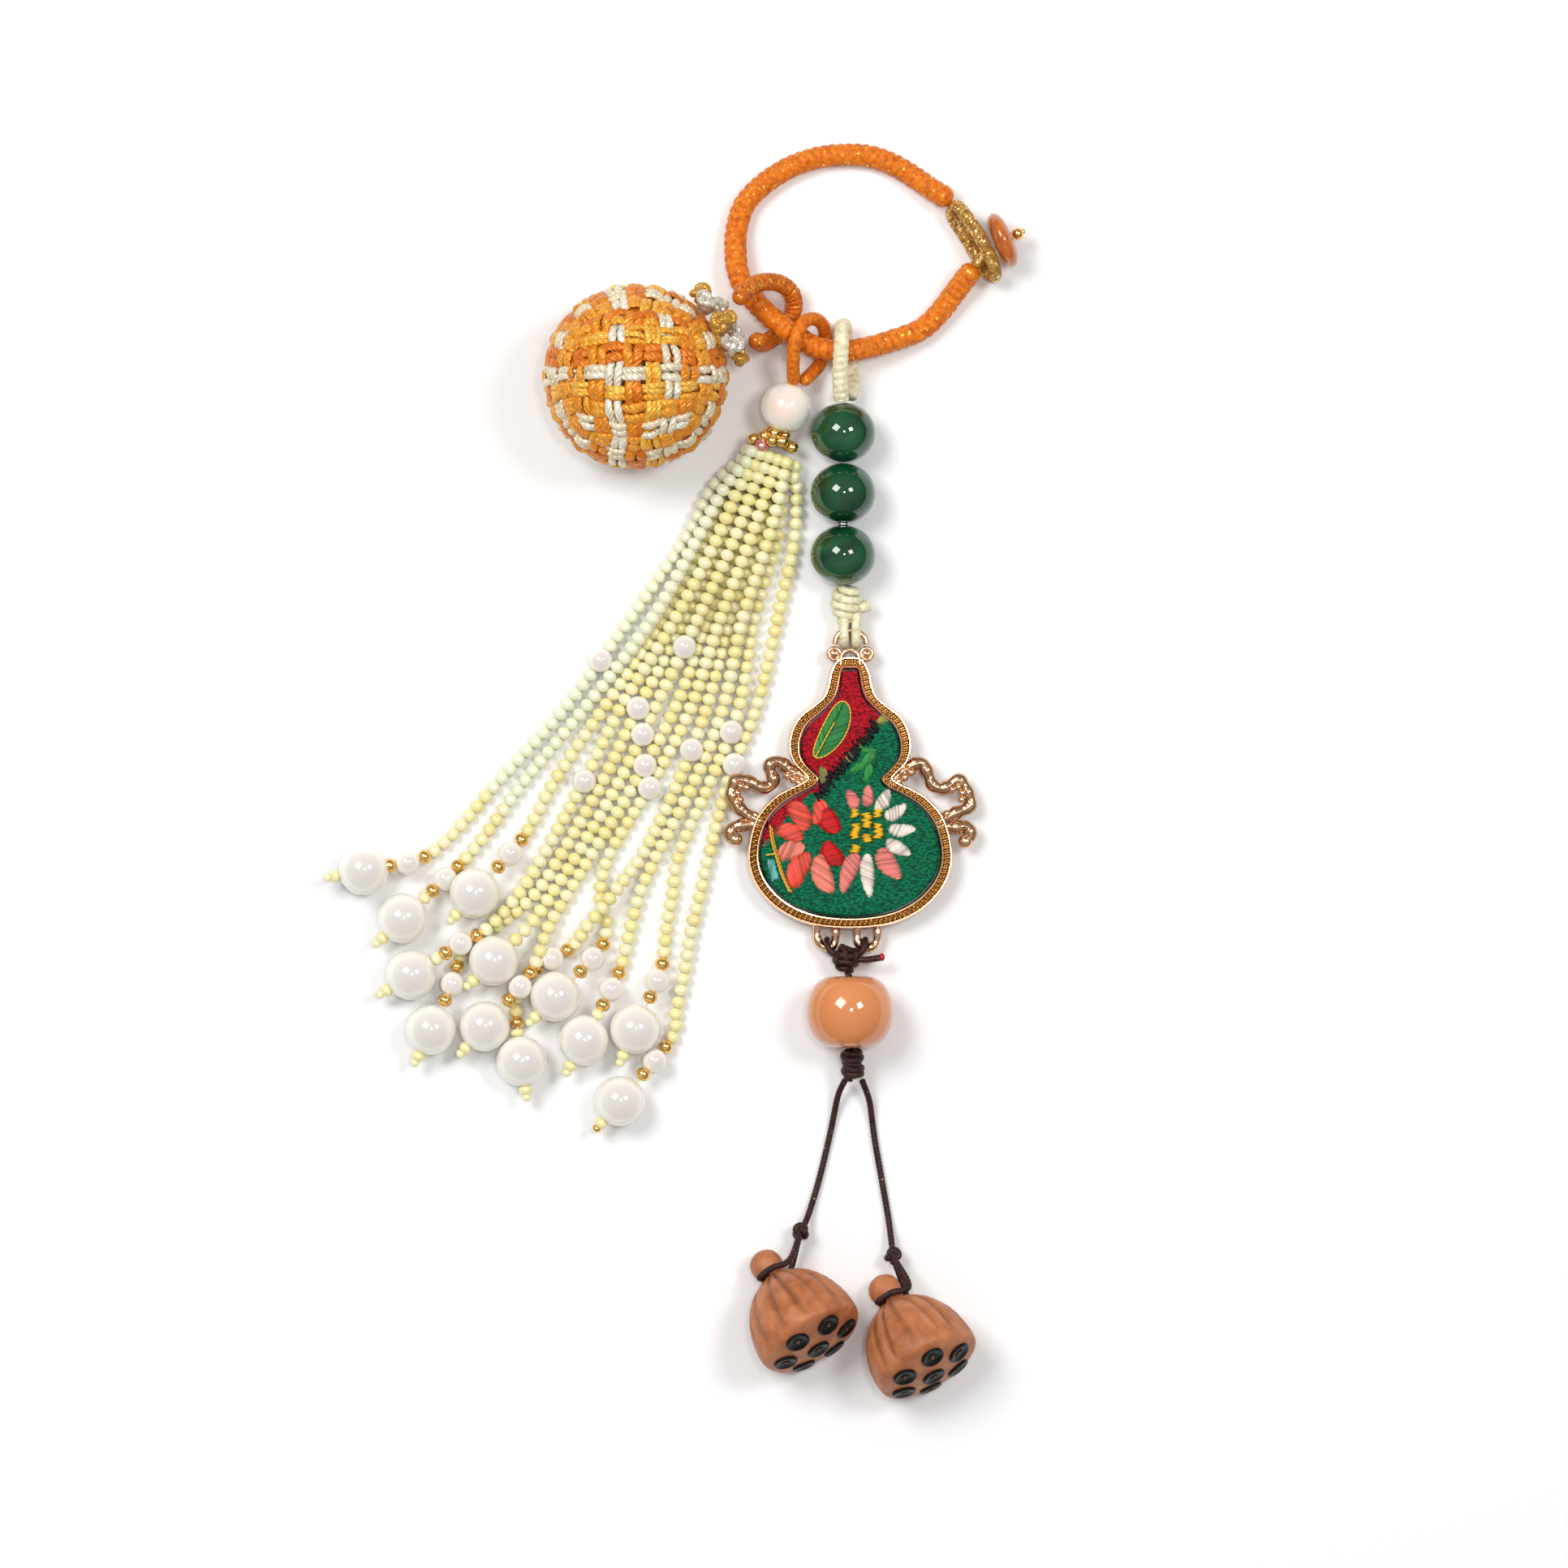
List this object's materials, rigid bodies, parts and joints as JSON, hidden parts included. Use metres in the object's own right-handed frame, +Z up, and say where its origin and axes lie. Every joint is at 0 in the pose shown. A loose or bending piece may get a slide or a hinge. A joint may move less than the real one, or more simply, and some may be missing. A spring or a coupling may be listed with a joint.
{
  "type": "embroidered tassel charm",
  "caption": "Charm lying flat: silk carry loop with button closure, woven silk ball, bead-strand tassel and an embroidered gourd pendant with green beads, barrel bead and lotus pods.",
  "frame": {"origin": "on the table under the middle of the pieces other than the free cords", "axes": "+Y from the pods towards the carry loop, +Z up from the table, +X to the right seen from above"},
  "size_m": [0.1388, 0.2488, 0.0364],
  "materials": {
    "orange_silk": "wrapped and braided bright orange silk",
    "gold_thread": "gold-brown metallic thread, tightly wrapped",
    "rust_stone": "polished orange-brown stone",
    "woven_silk": "orange, gold and pale silver silk strips and cords in a basket weave",
    "knot_silk": "gold and pale silver knotted cord",
    "pearl": "white and cream pearl lustre",
    "seed_beads": "translucent pale yellow glass beads on thread",
    "cream_cord": "pale cream braided cord",
    "green_stone": "polished dark green agate",
    "rose_gold": "rose gold plated casting, polished edges over a milled channel",
    "red_cloth": "red satin with satin-stitch embroidery",
    "green_cloth": "satin with embroidered leaf and flower",
    "brown_cord": "dark brown braided cord",
    "amber_stone": "polished translucent amber-orange stone",
    "pod_wood": "carved and oiled reddish-brown wood with black seeds"
  },
  "bodies": {
    "root": {"wrist_cord": "orange_silk", "closure_loop": "gold_thread", "button_shank": "gold_thread", "button_disc": "rust_stone", "button_knob": "gold_thread", "woven_ball": "woven_silk", "ball_knots_outer": "knot_silk", "ball_knots_inner": "knot_silk", "ball_loop": "orange_silk", "tassel_loop": "orange_silk", "head_pearl": "pearl", "tassel": "seed_beads", "pearl_01": "pearl", "pearl_02": "pearl", "pearl_03": "pearl", "pearl_04": "pearl", "pearl_05": "pearl", "pearl_06": "pearl", "pearl_07": "pearl", "pearl_08": "pearl", "pearl_09": "pearl", "pearl_10": "pearl", "pearl_11": "pearl", "pearl_12": "pearl", "cream_loop": "cream_cord", "green_bead_1": "green_stone", "green_bead_2": "green_stone", "green_bead_3": "green_stone", "cream_knot": "cream_cord", "gourd_bail": "rose_gold", "gourd_frame": "rose_gold", "gourd_cloth_front": "red_cloth", "gourd_cloth_back": "green_cloth", "brown_knot_top": "brown_cord", "barrel_bead": "amber_stone", "brown_knot_low": "brown_cord", "pod_cord_left": "brown_cord", "pod_cord_right": "brown_cord", "pod_tie_left": "brown_cord", "pod_tie_right": "brown_cord", "pod_left": "pod_wood", "pod_right": "pod_wood"}
  },
  "joints": []
}
